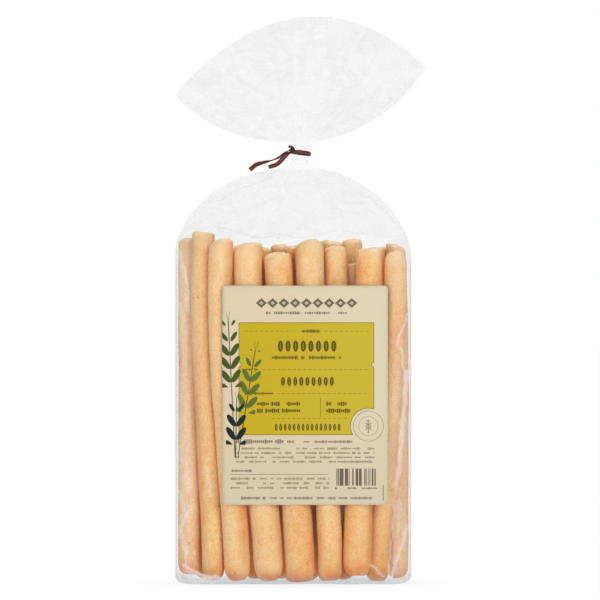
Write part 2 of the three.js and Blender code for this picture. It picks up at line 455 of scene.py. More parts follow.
class Print(Finish):
    """A finish with flat printed shapes on it, placed by x and z in millimetres."""

    def __init__(self, name):
        super().__init__(name)
        where = self.place()
        self.x = self.axis(where, "X")
        self.z = self.axis(where, "Z")

    def inside(self, distance, soft=0.12):
        """1 where a signed distance to a shape's edge is negative."""
        return self.math("ADD", distance * (-1 / soft), 0.5, clamp=True)

    def box_distance(self, left, right, bottom, top):
        across = abs(self.x - (left + right) / 2) - (right - left) / 2
        along = abs(self.z - (bottom + top) / 2) - (top - bottom) / 2
        return self.most(across, along)

    def box(self, left, right, bottom, top):
        return self.inside(self.box_distance(left, right, bottom, top))

    def radius(self, x, z):
        across, along = self.x - x, self.z - z
        return (across * across + along * along) ** 0.5

    def disc(self, x, z, radius):
        return self.inside(self.radius(x, z) - radius)

    def ring(self, x, z, radius, width):
        return self.inside(abs(self.radius(x, z) - radius) - width / 2)

    def off_middle(self, cells, pitch):
        """How far a place, given as a number of cells, is from the middle of its cell."""
        return abs(self.math("FRACT", cells) - 0.5) * pitch

    def dashes(self, left, right, z, width=0.35, pitch=3.2):
        """A dashed rule."""
        drawn = self.inside(self.off_middle((self.x - left) / pitch, pitch) - pitch * 0.27)
        return drawn * self.box(left, right, z - width / 2, z + width / 2)

    def beads(self, left, right, z, count, wide, tall):
        """A row of upright kernels, each with a slit up its middle."""
        pitch = (right - left) / count
        side = self.off_middle((self.x - left) / pitch, pitch)
        rise = self.z - z
        oval = ((side / (wide / 2)) ** 2 + (rise / (tall / 2)) ** 2) ** 0.5
        slit = self.inside(side - 0.14) * self.inside(abs(rise) - tall * 0.3)
        shape = self.inside((oval - 1) * wide / 2)
        return shape * (1 - slit * 0.8) * self.box(left, right, z - tall, z + tall)

    def bars(self, left, right, bottom, top, seed, rows=1, cell=0.9, fill=0.8):
        """Rows of fine upright strokes in groups, where small print would be."""
        pitch = (top - bottom) / rows
        column = (self.x - left) / cell
        row = (self.z - bottom) / pitch
        line = self.math("FLOOR", row) + seed
        cells = self.node("CombineXYZ", {"X": self.math("FLOOR", column), "Y": line})
        groups = self.node("CombineXYZ", {"X": column * 0.23, "Y": line * 7.3})
        chance = self.node("TexWhiteNoise", {"Vector": cells}, noise_dimensions="2D")
        group = self.node("TexNoise", {"Vector": groups, "Scale": 1, "Detail": 0})
        kept = self.climb(group, 0.4, 0.42)
        tall = fill * (0.6 + 0.4 * self.climb(chance, 0.6, 0.61))
        drawn = self.inside(self.off_middle(row, pitch) - tall * pitch / 2)
        stroke = self.inside(self.off_middle(column, cell) - cell * 0.3)
        block = 0.45 + 0.55 * stroke
        return kept * drawn * block * self.box(left, right, bottom, top)

    def ear(self, x, z, lean, length, pitch, half_width, fat, foot=16.0):
        """A wheat ear: pairs of slanting kernels up a stem that leans by an angle."""
        c, s = cos(lean), sin(lean)
        along = (self.x - x) * s + (self.z - z) * c
        across = (self.x - x) * c - (self.z - z) * s
        side = abs(across)
        taper = 1 - self.climb(along, length * 0.5, length * 1.05) * 0.6
        slanted = along - side * 0.95
        step = self.off_middle(slanted / pitch, pitch)
        outward = side - half_width * 0.52
        oval = ((step / (fat * 0.5)) ** 2 + (outward / (half_width * 0.5)) ** 2) ** 0.5
        kernel = self.inside((oval - taper) * half_width * 0.5)
        rib = self.inside(step - 0.16) * 0.55
        kernel = kernel * self.between(along, 0.0, 0.4, length, length + 0.4)
        stem = self.inside(side - 0.32) * self.between(along, -foot, -foot + 0.2, length, length + 0.5)
        awns = self.inside(abs(side - (along - length) * 0.22) - 0.13)
        awns = awns * self.between(along, length * 0.9, length, length + 5, length + 6)
        return kernel, self.most(stem, awns), kernel * rib


def print_panel(ink, paper):
    """The olive-yellow panel, with painted light drifting across it, its rules and its rows of kernels
    and strokes.
    """
    left, right, _, _ = PANEL_EDGES
    edge = ink.box_distance(*PANEL_EDGES)
    notches = ink.least(ink.radius(left, NOTCH_Z) - 1.3, ink.radius(right, NOTCH_Z) - 1.3)
    edge = ink.most(edge, 0 - notches, SEAL_RADIUS - ink.radius(*SEAL))
    # Painted light: the panel is darker on the left and lighter on the right, as the light falls.
    painted_light_drift = ink.climb(ink.x, left, right)
    olive = ink.colour(painted_light_drift, shade(192, 167, 24), shade(195, 173, 44))
    colour = ink.colour(ink.inside(edge), paper, olive)

    rules = ink.most(
        ink.dashes(-31, -2, 159.4),
        ink.dashes(19, 48, 159.4),
        ink.dashes(-20, 47, 135.3),
        ink.dashes(-11, 47, 120.3),
        ink.dashes(-14, 35, 104.6),
        ink.box(16.9, 17.3, 105.8, 117.8),
    )
    rows = ink.most(
        ink.beads(-10.4, 27.8, 150.0, 8, 3.3, 7.0),
        ink.beads(-8.3, 26.1, 127.9, 9, 2.5, 5.6),
        ink.bars(0.4, 16.8, 158.2, 160.6, seed=11),
        ink.bars(-13.4, 30.1, 141.4, 144.3, seed=17),
        ink.bars(-29.8, -22.0, 134.2, 136.5, seed=23),
        ink.bars(-30.4, -12.6, 119.2, 121.5, seed=31),
        ink.bars(-22.8, 4.3, 107.4, 116.0, rows=2, cell=1.3, fill=0.62, seed=37),
        ink.bars(20.6, 35.8, 107.4, 116.0, rows=2, cell=1.3, fill=0.62, seed=41),
        ink.beads(-12.1, 30.1, 99.2, 15, 1.7, 4.4),
    )
    dark_olive = shade(68, 56, 10)
    colour = ink.colour(ink.inside(abs(edge + 0.25) - 0.22) * 0.75, colour, shade(92, 84, 30))
    colour = ink.colour(rules * 0.6, colour, dark_olive)
    return ink.colour(rows * 0.92, colour, dark_olive)


def print_brown(ink):
    """What is printed in brown: the heading, the small print, the stripes and the seal."""
    pitch = 7.08
    side = ink.off_middle((ink.x + 23.5) / pitch, pitch) * 0.9
    rise = abs(ink.z - 177)
    lozenges = ink.inside(side + rise - 3.1, 0.2) * (1 - ink.inside(side + rise - 1.1, 0.2))
    hearts = ink.inside(side + rise - 0.45, 0.2)
    heading = ink.most(lozenges, hearts) * ink.box(-23.5, 40.2, 173, 181)
    small = ink.most(
        ink.bars(-17.2, 33.9, 169.6, 172.0, cell=1.5, fill=0.7, seed=47),
        ink.bars(-36.1, -6.0, 88.6, 91.8, cell=1.3, fill=0.86, seed=53),
        ink.bars(-4.0, 37.0, 88.8, 91.4, cell=1.1, fill=0.7, seed=59),
        ink.bars(-36.1, 50.9, 76.2, 87.2, rows=4, cell=0.8, fill=0.56, seed=61) * 0.85,
        ink.bars(-38.6, -26.0, 70.8, 73.0, seed=67),
        ink.bars(-39.2, 22.5, 59.8, 68.4, rows=3, cell=0.85, fill=0.56, seed=71) * 0.85,
        ink.bars(-32.9, 49.4, 53.6, 56.0, cell=0.85, fill=0.75, seed=73),
        ink.bars(26.0, 52.6, 60.0, 62.0, cell=1.4, fill=0.7, seed=79),
        ink.box(-39.2, 21.9, 69.45, 69.75),
        ink.box(56.0, 56.8, 53.2, 63.0) * 0.7,
    )
    stripe = ink.math("FLOOR", (ink.x - 26.9) / 0.42)
    chance = ink.node("TexWhiteNoise", {"W": stripe}, noise_dimensions="1D")
    stripes = ink.climb(chance, 0.4, 0.41) * ink.box(26.9, 51.8, 62.6, 73.3)

    x, z = SEAL
    kernels, stem, _ = ink.ear(x, z - 2.6, 0.0, 6.4, 2.0, 1.9, 1.5)
    stem = stem * ink.disc(x, z, 4.6)
    seal = ink.most(ink.ring(x, z, 9.4, 0.4), ink.ring(x, z, 6.0, 0.3), kernels, stem)
    return ink.most(heading * 0.9, small * 0.8, stripes * 0.9, seal * 0.6)


def make_label_print():
    """Cream paper with an olive-yellow panel, rows of kernels and strokes, and wheat ears; painted
    light and shade drift across the paper.
    """
    ink = Print("label_print")
    fibre = ink.grain(0.8, detail=2, rough=0.6)
    # Painted light: the paper drifts in colour from left to right, as the light falls.
    painted_light_drift = ink.climb(ink.x, -25, 50)
    paper = ink.colour(painted_light_drift, shade(218, 201, 171), shade(215, 206, 179))
    # Painted shade: the paper is darker towards the bottom.
    paper = ink.colour(ink.climb(ink.z, 120, 50) * 0.6, paper, shade(208, 193, 167))
    paper = ink.colour((fibre - 0.5) * 0.4 + 0.18, paper, shade(203, 186, 153))
    front = ink.attribute("printed")
    colour = ink.colour(front, paper, print_panel(ink, paper))
    colour = ink.colour(print_brown(ink) * front, colour, shade(84, 71, 54))
    for x, z, lean, length, green in (
        (-30.2, 108.0, 0.16, 40, shade(92, 108, 40)),
        (-38.6, 124.0, -0.05, 42, shade(66, 82, 18)),
        (-36.0, 88.0, 0.02, 28, shade(12, 26, 20)),
    ):
        kernels, stem, ribs = ink.ear(x, z, lean, length, 8.4, 6.2, 5.6, foot=z - 80)
        colour = ink.colour(stem * front * 0.9, colour, shade(52, 62, 20))
        colour = ink.colour(kernels * front, colour, green)
        colour = ink.colour(ribs * front, colour, shade(26, 34, 10))
    ink.surface(
        Base_Color=colour,
        Roughness=0.6 + (fibre - 0.5) * 0.15,
        Specular_IOR_Level=0.2,
        Normal=ink.relief(fibre, 0.03, 0.6),
    )
    return ink.material


# ---- finishing a piece


def finish_piece(piece, name, material):
    """Brings a piece from millimetres to metres and gives it its name, finish and body."""
    piece.name = name
    piece.data.name = name
    for vertex in piece.data.vertices:
        vertex.co *= MM
    for face in piece.data.polygons:
        face.use_smooth = True
    piece.data.materials.clear()
    piece.data.materials.append(material)
    piece.select_set(False)
    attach(piece, "root")
    return piece


def apply_modifier(piece, kind, **settings):
    modifier = piece.modifiers.new(kind.lower(), kind)
    for name, value in settings.items():
        setattr(modifier, name, value)
    bpy.context.view_layer.objects.active = piece
    bpy.ops.object.modifier_apply(modifier=modifier.name)


def paint_values(piece, name, values):
    """Stores one number per vertex for the finish to read."""
    piece.data.attributes.new(name, "FLOAT", "POINT")
    piece.data.attributes[name].data.foreach_set("value", values)


def close_seams(piece, gap=0.01):
    """Joins vertices that share a place, and drops the faces that this empties."""
    mesh = bmesh.new()
    mesh.from_mesh(piece.data)
    bmesh.ops.remove_doubles(mesh, verts=mesh.verts, dist=gap)
    bmesh.ops.dissolve_degenerate(mesh, edges=mesh.edges, dist=gap / 2)
    mesh.to_mesh(piece.data)
    mesh.free()


def make_ringed_cylinder(sides, rings, cap_insets=0):
    """A cylinder one unit long and one in radius, ringed closely from end to end."""
    bpy.ops.mesh.primitive_cylinder_add(vertices=sides, radius=1, depth=1, location=(0, 0, 0.5))
    cylinder = bpy.context.object
    bpy.ops.object.transform_apply(location=True)
    bpy.ops.object.mode_set(mode="EDIT")
    bpy.ops.mesh.select_mode(type="FACE")
    mesh = bmesh.from_edit_mesh(cylinder.data)
    for face in mesh.faces:
        face.select = abs(face.normal.z) > 0.9
    bmesh.update_edit_mesh(cylinder.data)
    for _ in range(cap_insets):
        bpy.ops.mesh.inset(thickness=1 / (cap_insets + 1))
    bpy.ops.mesh.select_mode(type="EDGE")
    bpy.ops.mesh.select_all(action="DESELECT")
    mesh = bmesh.from_edit_mesh(cylinder.data)
    for edge in mesh.edges:
        edge.select = abs(edge.verts[0].co.z - edge.verts[1].co.z) > 0.9
    bmesh.update_edit_mesh(cylinder.data)
    bpy.ops.mesh.subdivide(number_cuts=rings - 1)
    bpy.ops.object.mode_set(mode="OBJECT")
    return cylinder


# ---- the breadsticks

# Each breadstick: the middle of its bottom end; where its middle passes at the heights of the
# label's lower and upper edges, in x and y; and the middle of its top end. Then, for the bottom
# and the top, its thickness, how square the end is (2 is a fingertip, 4 is nearly flat) and how
# long the rounded part is; how much the top rises to the right; how brown it is; and how much
# of the bottom's tip is blunted.
Stick = namedtuple(
    "Stick", "bottom low high top thickness squareness rounding slant tone blunt", defaults=[0.0]
)
LOW_Z, HIGH_Z = 50.0, 189.0
FRONT_ROW = [Stick(*plan) for plan in (
    ((-50.2, -8, 2.6), (-51.6, -6.2), (-57.6, -2.8), (-56.8, -2.2, 221.6),
     (14.6, 14.2), (2.2, 5), (9, 2), -0.9, 0.42, 0.12),
    ((-34.8, -12.8, 2.2), (-37.6, -13), (-45.9, -12.8), (-44.9, -12.4, 217.3),
     (16.4, 15.1), (2.2, 2.7), (10, 5.5), 1.1, 0.36, 0.06),
    ((-14.8, -11.8, 2), (-18.6, -11.8), (-28.5, -11.7), (-28.5, -11.2, 214.6),
     (19.3, 18.2), (2.2, 3.6), (12, 3), 0, 0.34, 0.05),
    ((4.9, -11.9, 1.7), (2.1, -12), (-8.8, -12.2), (-10, -12.2, 208.8),
     (19.2, 17.5), (4.2, 2.8), (5, 5), 0.1, 0.52),
    ((23.1, -13.7, 2.7), (21.9, -13.6), (10.8, -11.7), (10, -11.2, 216.9),
     (15.4, 18.6), (2.6, 2.5), (7, 8), 0.7, 0.34, 0.15),
    ((40.2, -12.4, 6), (41.2, -12.3), (47.6, -12.2), (47.7, -12.2, 211.6),
     (18.4, 17.1), (1.7, 3), (7, 3.6), 1.1, 0.50, 0.3),
    ((52.7, -1.6, 1.6), (56, -4.4), (64.3, -12.9), (64.3, -12.6, 209.8),
     (15, 14.6), (2.3, 2), (9, 7.5), 0, 0.44, 0.15),
)]
# The back row's higher tones are partly each stick's own colour and partly painted shade, browning the
# tops that stand behind the front row.
BACK_ROW = [Stick(*plan) for plan in (
    ((-65.3, 1.5, 5.4), (-65.3, 2.5), (-66.2, 10.1), (-66.3, 10, 218.2),
     (15.8, 13.6), (2.4, 3), (8, 4), 0.4, 0.42, 0.1),
    ((-56, 13.6, 1.6), (-53.6, 13.4), (-39, 12.6), (-37.6, 13.4, 211.4),
     (14.8, 13.1), (2.2, 3), (6, 4), 0.6, 0.75),
    ((-24, 13.6, 1.4), (-23.4, 12), (-20.3, 4.8), (-20, 4.4, 211.8),
     (15.2, 13.4), (2.2, 4), (7, 1.6), -0.3, 0.85),
    ((-8.4, 14, 1.4), (-8.2, 14.2), (-8.2, 14.9), (-8.2, 14.9, 214.2),
     (15.2, 13.2), (2.4, 2.8), (7, 4), 0.2, 0.60),
    ((11, 13.8, 1.4), (10.6, 11.6), (1.4, 4.5), (0.8, 4.2, 213.2),
     (14.8, 13.2), (2.2, 2.6), (7, 4.5), 0.6, 0.82),
    ((32.1, 1.9, 1.8), (31.4, 1.4), (26.9, -6.8), (26.3, -6.7, 212.8),
     (13.8, 15.1), (2.2, 2.8), (7, 4.5), 0.2, 0.56),
    ((26.2, 14.2, 1.6), (25.8, 14.2), (24.9, 8.4), (24.5, 8.4, 216),
     (13.8, 14.3), (2.4, 4), (5, 2), -0.8, 0.55),
    ((41.2, 13.8, 9.5), (40.8, 14), (37.6, 14.7), (37, 14.9, 217.8),
     (13.6, 13.4), (2.3, 2.6), (6, 4.5), 0.4, 0.38),
    ((54.8, 14.2, 5), (54.4, 14.3), (53, 14.4), (53.2, 14.6, 212.5),
     (13.2, 13.6), (2.2, 3.2), (7, 3.2), 0.4, 0.60),
    ((65.9, 5.1, 2.6), (66.1, 6.6), (66, 9), (65.2, 10, 214.4),
     (14.6, 13), (2.4, 2.6), (7, 4), -2.2, 0.46),
)]
# A short broken piece, wedged between the rows
BROKEN_PIECE = Stick((41.7, 1.7, 118), None, None, (37.4, -1.5, 201.8),
                     (9.0, 9.0), (2.2, 4.6), (4, 1.2), 0.3, 0.30)
STICK_SIDES = 20
STICK_RINGS = 64
END_RINGS = 4  # this many rings lie on the rounding of each end


def axes_of(plan):
    """Where a stick starts, its length, and the ways that are up, sideways and outward on it."""
    low, high = Vector(plan.bottom), Vector(plan.top)
    upright = (high - low).normalized()
    sideways = (Vector((1, 0, 0)) - upright * upright.x).normalized()
    return low, (high - low).length, upright, sideways, upright.cross(sideways)


def sway_of(plan, z):
    """How far a stick's middle lies, at a height, from the straight line between its ends."""
    if plan.low is None:
        return Vector((0, 0, 0))
    bottom, top = Vector(plan.bottom), Vector(plan.top)
    share, low, high = ((h - bottom.z) / (top.z - bottom.z) for h in (z, LOW_Z, HIGH_Z))
    sway = Vector((0, 0, 0))
    for place, here, other in ((plan.low, low, high), (plan.high, high, low)):
        bend = Vector((*place, 0)) - bottom.lerp(top, here)
        bend.z = 0
        reach = share * (1 - share) * (share - other)
        sway += bend * (reach / (here * (1 - here) * (here - other)))
    return sway


def middle_of(plan, z):
    """The middle of a stick at a height."""
    bottom, top = Vector(plan.bottom), Vector(plan.top)
    return bottom.lerp(top, (z - bottom.z) / (top.z - bottom.z)) + sway_of(plan, z)


def end_profile(share, squareness, blunt):
    """From 0 at the pole to 1 where the side starts: how far out and how far in a ring lies."""
    turn = min(1.0, share) * pi / 2
    outward = sin(turn) ** (2 / squareness)
    inward = 1 - max(0.0, cos(turn)) ** (2 / squareness)
    return outward, max(0.0, inward - blunt) / (1 - blunt)


def shape_stick(stick, plan, dice):
    """Bends, tapers and rounds off a plain stick in place."""
    low, length, upright, sideways, facing = axes_of(plan)
    oval = dice.uniform(0, TAU)
    swells = dice.uniform(0, 50)
    end_share = END_RINGS / STICK_RINGS
    for vertex in stick.data.vertices:
        x, y, along = vertex.co
        turn = atan2(y, x)
        end = 0 if along < 0.5 else 1
        near = min(along, 1 - along)
        ring = hypot(x, y) if near < 1e-5 else 1 + near / end_share
        outward, inward = end_profile(ring / 2, plan.squareness[end], (plan.blunt, 0)[end])
        rounded = plan.rounding[end] / length
        share = inward * rounded
        if near > end_share:
            share = lerp(rounded, 0.5, (near - end_share) / (0.5 - end_share))
        if end == 1:
            share = 1 - share
        radius = lerp(*plan.thickness, share) / 2 * outward
        radius *= 1 + 0.02 * cos(2 * turn + oval) + 0.03 * noise.noise((swells, share * 4, 0))
        rise = plan.slant * cos(turn) * outward * ease(share, 1 - 14 / length, 1)
        centre = low + upright * (share * length + rise)
        centre += sway_of(plan, lerp(plan.bottom[2], plan.top[2], share))
        around = sideways * cos(turn) + facing * sin(turn)
        vertex.co = centre + around * radius


def roughen_stick(stick, plan, number, swing):
    """Gives the crust its lumps and pores, breaks up its top, and stores how it is baked, with painted
    shade on its flanks and painted light on its top.
    """
    low, length, upright, sideways, facing = axes_of(plan)
    shift = Vector((number * 13.7, number * 7.1, number * 3.3))
    toast_and_flank_shade, cut, tone = [], [], []
    stick.data.update()
    normals = [v.normal.copy() for v in stick.data.vertices]
    for vertex, normal in zip(stick.data.vertices, normals):
        along = (vertex.co - low).dot(upright)
        from_top = length - along
        spot = vertex.co + shift
        lumps = noise.noise((spot.x / 11, spot.y / 11, spot.z / 30))
        dents = noise.noise((spot.x / 4.6, spot.y / 4.6, spot.z / 8))
        pores = noise.noise(spot / 1.5)
        end = 1 - ease(min(along, from_top), 0.0, 9.0)
        crumbly = 1 - ease(from_top, 0.8, 3.4)
        rise = lumps * 0.4 + dents * (0.1 + 0.15 * end) + pores * (0.06 + 0.12 * crumbly)
        torn = noise.noise(spot / 3.4) * 0.9 + noise.noise(spot / 1.3) * 0.4
        offset = vertex.co - middle_of(plan, vertex.co.z)
        turn = atan2(offset.dot(facing), offset.dot(sideways)) - swing
        # Painted shade: the flanks, left and right, are browned where the sticks meet and shade falls
        # between them.
        painted_flank_shade = 0.9 * max(0.0, cos(turn)) ** 3 + 0.4 * max(0.0, -cos(turn)) ** 4
        vertex.co += normal * rise + upright * torn * crumbly
        ends = 1.1 * (1 - ease(along, 0.5, 13.0)) + 0.15 * (1 - ease(from_top, 2.5, 14.0))
        toast_and_flank_shade.append(max(ends, painted_flank_shade * (1 - crumbly)))
        cut.append(1 - ease(from_top + torn * 0.7, 0.5, 2.2))
        # Painted light: the tone is paler over the top 12 mm, which the lamps reach less.
        tone.append(plan.tone - 0.3 * (1 - ease(from_top, 1.0, 12.0)))
    paint_values(stick, "toast_and_flank_shade", toast_and_flank_shade)
    paint_values(stick, "cut", cut)
    paint_values(stick, "tone", tone)


def make_sticks(material):
    plain = make_ringed_cylinder(STICK_SIDES, STICK_RINGS, cap_insets=3)
    for number, plan in enumerate([*FRONT_ROW, *BACK_ROW, BROKEN_PIECE], 1):
        stick = plain.copy()
        stick.data = plain.data.copy()
        bpy.context.collection.objects.link(stick)
        dice = random.Random(number)
        shape_stick(stick, plan, dice)
        apply_modifier(stick, "SUBSURF", levels=2, render_levels=2)
        roughen_stick(stick, plan, number, dice.uniform(-0.5, 0.5))
        name = "broken_breadstick" if plan is BROKEN_PIECE else f"breadstick_{number:02d}"
        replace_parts(finish_piece(stick, name, material), "bag")
    bpy.data.objects.remove(plain, do_unlink=True)


# ---- the bag's film

HALF_WIDTH = 74.5
HALF_DEPTH = 22.0
CORNER = 13.0  # radius of the walls' corners
BASE_EDGE = 5.5  # radius of the edge round the base
FLOOR_GAP = 0.2
SHOULDER = 203.0  # height at which the walls end
DOME = 60.0  # how much higher the neck starts
NECK_RADIUS = 5.5
NECK_X = 4.3
TIE_HEIGHT = 272.2
FILM_AROUND = 248
BASE_RINGS, EDGE_RINGS, WALL_RINGS, DOME_RINGS, NECK_RINGS = 9, 5, 92, 62, 5
FILM_THICKNESS = 0.12
CLEAR_TINT = 0.05  # how opaque each face of the film is where it is clear


def plan_outline():
    """Evenly spaced points round the walls, counter-clockwise from the middle of the back."""
    straight_x, straight_y = HALF_WIDTH - CORNER, HALF_DEPTH - CORNER
    quarter = CORNER * pi / 2
    legs = [straight_x, quarter, 2 * straight_y, quarter, 2 * straight_x]
    legs += [quarter, 2 * straight_y, quarter, straight_x]
    step = sum(legs) / FILM_AROUND
    points = []
    for i in range(FILM_AROUND):
        run, leg = i * step, 0
        while run > legs[leg]:
            run -= legs[leg]
            leg += 1
        turn = run / CORNER
        c, s = cos(turn), sin(turn)
        points.append([
            (-run, HALF_DEPTH),
            (-straight_x - CORNER * s, straight_y + CORNER * c),
            (-HALF_WIDTH, straight_y - run),
            (-straight_x - CORNER * c, -straight_y - CORNER * s),
            (-straight_x + run, -HALF_DEPTH),
            (straight_x + CORNER * s, -straight_y - CORNER * c),
            (HALF_WIDTH, -straight_y + run),
            (straight_x + CORNER * c, straight_y + CORNER * s),
            (straight_x - run, HALF_DEPTH),
        ][leg])
    return points


OUTLINE = plan_outline()


def sink_between_sticks(x, z, row):
    """How far the film sinks between the two breadsticks of a row on either side of x."""
    places = sorted(middle_of(plan, z).x for plan in row)
    for left, right in zip(places, places[1:]):
        if left <= x < right:
            gap = right - left
            depth = min(1.5, 1.15 * (gap / 17.4) ** 2)
            return depth * 0.5 * (1 - cos(TAU * (x - left) / gap))
    return 0.0


def flare_at(half_width):
    """How far the dome's top is drawn up where it is this wide."""
    return 3.6 * exp((NECK_RADIUS - half_width) / 3.2)


def bag_rings():
    """Sections of the bag from the middle of its base up to the tied neck.

    Each has the part it belongs to, half its width and depth, its height, and how far the
    dome has closed there.
    """
    rings = []
    for i in range(BASE_RINGS):
        inset = lerp(HALF_DEPTH, BASE_EDGE, i / BASE_RINGS)
        rings.append(("base", HALF_WIDTH - inset, HALF_DEPTH - inset, FLOOR_GAP, 0.0))
    for i in range(EDGE_RINGS):
        turn = i / EDGE_RINGS * pi / 2
        inset = BASE_EDGE * (1 - sin(turn))
        z = FLOOR_GAP + BASE_EDGE * (1 - cos(turn))
        rings.append(("edge", HALF_WIDTH - inset, HALF_DEPTH - inset, z, 0.0))
    for i in range(WALL_RINGS):
        z = lerp(BASE_EDGE + FLOOR_GAP, SHOULDER, i / WALL_RINGS)
        rings.append(("wall", HALF_WIDTH, HALF_DEPTH, z, 0.0))
    last = acos(NECK_RADIUS / HALF_WIDTH)
    for i in range(DOME_RINGS + 1):
        closed = i / DOME_RINGS
        shrink = cos(last * closed)
        deep = lerp(NECK_RADIUS, HALF_DEPTH, shrink ** lerp(0.8, 1.7, ease(closed, 0.15, 0.6)))
        wide = HALF_WIDTH * shrink
        z = SHOULDER + DOME * sin(last * closed) + flare_at(wide)
        rings.append(("dome", wide, deep, z, closed))
    for i in range(1, NECK_RINGS + 1):
        rise = lerp(z, TIE_HEIGHT + 0.6, i / NECK_RINGS)
        rings.append(("neck", NECK_RADIUS, NECK_RADIUS, rise, 1.0))
    return rings


RINGS = bag_rings()


def pleats(angle, seed):
    """Pleats round the gathered neck, from -1 in a valley to 1 on a ridge."""
    folds = 0.0
    for count, weight, phase in ((13, 0.45, 0.3), (21, 0.35, 1.9), (34, 0.2, 4.0)):
        wave = sin(count * angle + phase + seed + 1.3 * sin(3 * angle + seed))
        folds += weight * (1 - 2 * abs(wave))
    return folds


def ridge(*place):
    """The height of a creased sheet: sharp ridges up to 1 with soft valleys between."""
    return 1 - 2.2 * abs(noise.noise(place))


def crease_bag(spot, kind, closed, angle):
    """Moves a point of the smooth bag to where the creased film runs.

    Also says how tinted and how hazy the film is there.
    """
    x, y, z = spot
    outward = Vector((cos(angle) * 0.35, sin(angle), 0)).normalized()
    if abs(x) > HALF_WIDTH - CORNER * 0.6:
        outward = Vector((copysign(1, x), 0, 0))
    # 1 on the front and the back, and 1 where breadsticks press against those
    flat = ease(HALF_WIDTH - abs(x), CORNER * 0.6, CORNER + 6)
    filled = flat * ease(z, 4, 16) * (1 - ease(z, 204, 216))
    tight = ease(closed, 0.5, 1.0)
    low = 1 - ease(z, 198, 216)
    near_side = low * ease(abs(x), 60, 70)
    tint = CLEAR_TINT * (1 - 0.6 * ease(abs(x), 50, 66) * low)
    tint *= 1 - 0.7 * ease(closed, 0.82, 0.97)
    tint *= 1 - 0.65 * flat * ease(z, 2, 6) * (1 - ease(z, 208, 221))
    # Painted shade: a darker rim where the side walls are seen edge-on.
    tint += 0.07 * ease(abs(x), HALF_WIDTH - 2.5, HALF_WIDTH - 0.5) * low
    # Painted sheen: the side walls are whiter, as film seen edge-on reflects more.
    painted_side_sheen = ease(abs(x), 56, 69) * (1 - 0.55 * ease(abs(x), 70, 74)) * (1 - tight)
    haze_and_sheen = (0.11 if x < 0 else 0.1) * painted_side_sheen * (1 - ease(z, 205, 225))
    if kind in ("wall", "dome", "edge"):
        row = FRONT_ROW if y < 0 else BACK_ROW
        spot.y -= copysign(sink_between_sticks(x, z, row) * filled, y)
        soft = noise.noise((x / 30, y / 30, z / 46))
        fans = ridge(angle * 4.2, z / 70, 2.0) * ease(z, 190, 225)
        bent = ridge(x / 19, y / 19, z / 36)
        small = noise.noise((x / 6, y / 6, z / 14)) * (1 - 0.8 * near_side)
        loose = (1 - filled) * lerp(1.0, 0.3, low) * (1 - near_side)
        creased = soft * 0.8 + bent * 0.45 + fans * 0.55 - 0.5 * ease(z, 214, 232)
        push = loose * creased + small * (0.05 + 0.12 * loose)
        spot += outward * (push * (1 - 0.7 * tight))
        if y < 0:
            for points, width, strength in HIGHLIGHTED_CREASES:
                for start, end in zip(points, points[1:]):
                    near = 1 - from_segment(x, z, start, end) / (width / 2 + 0.8)
                    spot += outward * (0.35 * strength * max(0.0, near))
    if kind == "wall":
        # Each side is folded inward a little down its middle
        spot.x -= copysign(0.5 * max(0.0, 1 - abs(y) / 5), x) * ease(abs(x), 73, 74.4)
        tint += 0.03 * (1 - ease(z, 5, 9))
    if kind in ("dome", "neck"):
        pleat = pleats(angle, 0.0)
        size = lerp(1.6, 0.45, ease(closed, 0.8, 1.0))
        spot += outward * (tight * (pleat * size - 0.3))
        # Hazier where the neck is gathered, with painted highlights on the pleat ridges.
        haze_and_sheen += ease(closed, 0.85, 1.0) * 0.03 * (1 + 0.5 * pleat)
    if kind in ("base", "edge"):
        spot.z += 0.4 * abs(noise.noise((x / 25, y / 12, 3.1)))
        tint += 0.1
        haze_and_sheen += 0.02
    return spot, tint, haze_and_sheen


def bag_point(around, row):
    """A point of the bag, by its place round the walls and its ring.

    Also says how tinted and how hazy the film is there.
    """
    kind, half_wide, half_deep, z, closed = RINGS[row]
    corner_x, corner_y = OUTLINE[around][0] / HALF_WIDTH, OUTLINE[around][1] / HALF_DEPTH
    angle = atan2(corner_y, corner_x)
    roundness = ease(closed, 0, 1)
    spot = Vector((
        NECK_X * ease(closed, 0.6, 1) + half_wide * lerp(corner_x, cos(angle), roundness),
        half_deep * lerp(corner_y, sin(angle), roundness),
        z - 0.7 * flare_at(half_wide) * max(0.0, cos(angle)) * (kind == "dome"),
    ))
    return crease_bag(spot, kind, closed, angle)


def make_film_sheet(name, material, up, place):
    """A tube of film with this many rows, each of its points put in place."""
    bpy.ops.mesh.primitive_grid_add(x_subdivisions=FILM_AROUND, y_subdivisions=up, size=2)
    film = bpy.context.object
    tints, hazes = [], []
    for vertex in film.data.vertices:
        around = round((vertex.co.x + 1) / 2 * FILM_AROUND) % FILM_AROUND
        vertex.co, tint, haze_and_sheen = place(around, round((vertex.co.y + 1) / 2 * up))
        tints.append(tint)
        hazes.append(haze_and_sheen)
    paint_values(film, "tint", tints)
    paint_values(film, "haze_and_sheen", hazes)
    close_seams(film)
    apply_modifier(film, "SOLIDIFY", thickness=FILM_THICKNESS, offset=-1)
    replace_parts(finish_piece(film, name, material), "bag")


